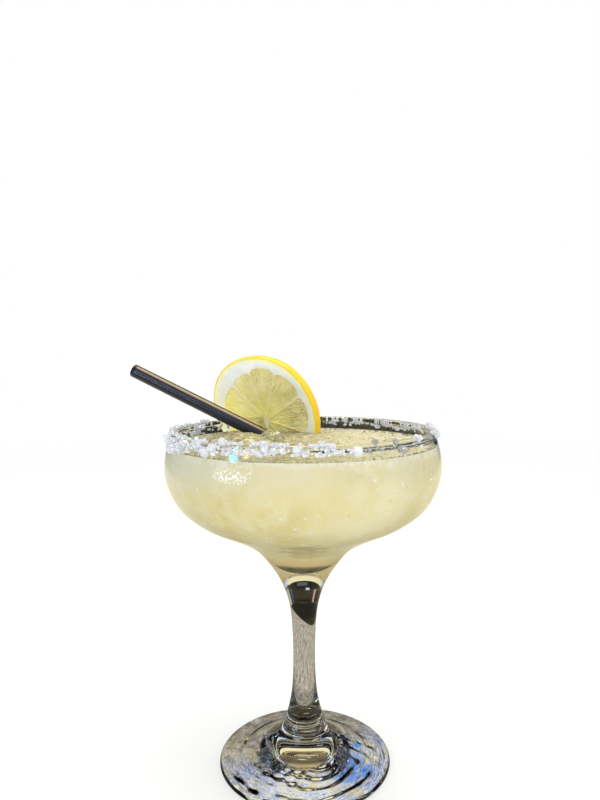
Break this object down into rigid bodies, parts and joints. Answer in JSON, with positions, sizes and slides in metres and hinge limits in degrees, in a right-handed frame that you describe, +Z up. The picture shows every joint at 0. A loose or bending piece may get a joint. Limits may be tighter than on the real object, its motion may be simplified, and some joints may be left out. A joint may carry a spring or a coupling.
{
  "type": "margarita cocktail",
  "caption": "Margarita in a stemmed coupe glass: coarse salt on the rim, cloudy pale yellow drink with a slushy top, lemon wheel slit onto the rim, straw and ice.",
  "frame": {"origin": "on the stem's axis, at the middle of the flat round pad under the foot, at the level of the table", "axes": "+Z up along the stem; -Y towards the viewer, so that the lemon wheel stands on the far side of the rim; +X to the viewer's right, and the straw leaves the glass towards -X"},
  "size_m": [0.1289, 0.1143, 0.1599],
  "materials": {
    "glass": "clear, polished, pressed glass",
    "salt": "coarse white translucent crystals fused to the glass's rim",
    "drink": "cloudy pale yellow liquid with a slushy, frothy top",
    "lemon": "juicy translucent yellow flesh, white pith, vivid yellow rind",
    "straw": "black, semi-gloss",
    "ice": "clear, wet ice"
  },
  "bodies": {
    "root": {"glass": "glass", "drink": "drink", "lemon_wheel": "lemon", "straw": "straw", "ice_lump": "ice"}
  },
  "joints": []
}
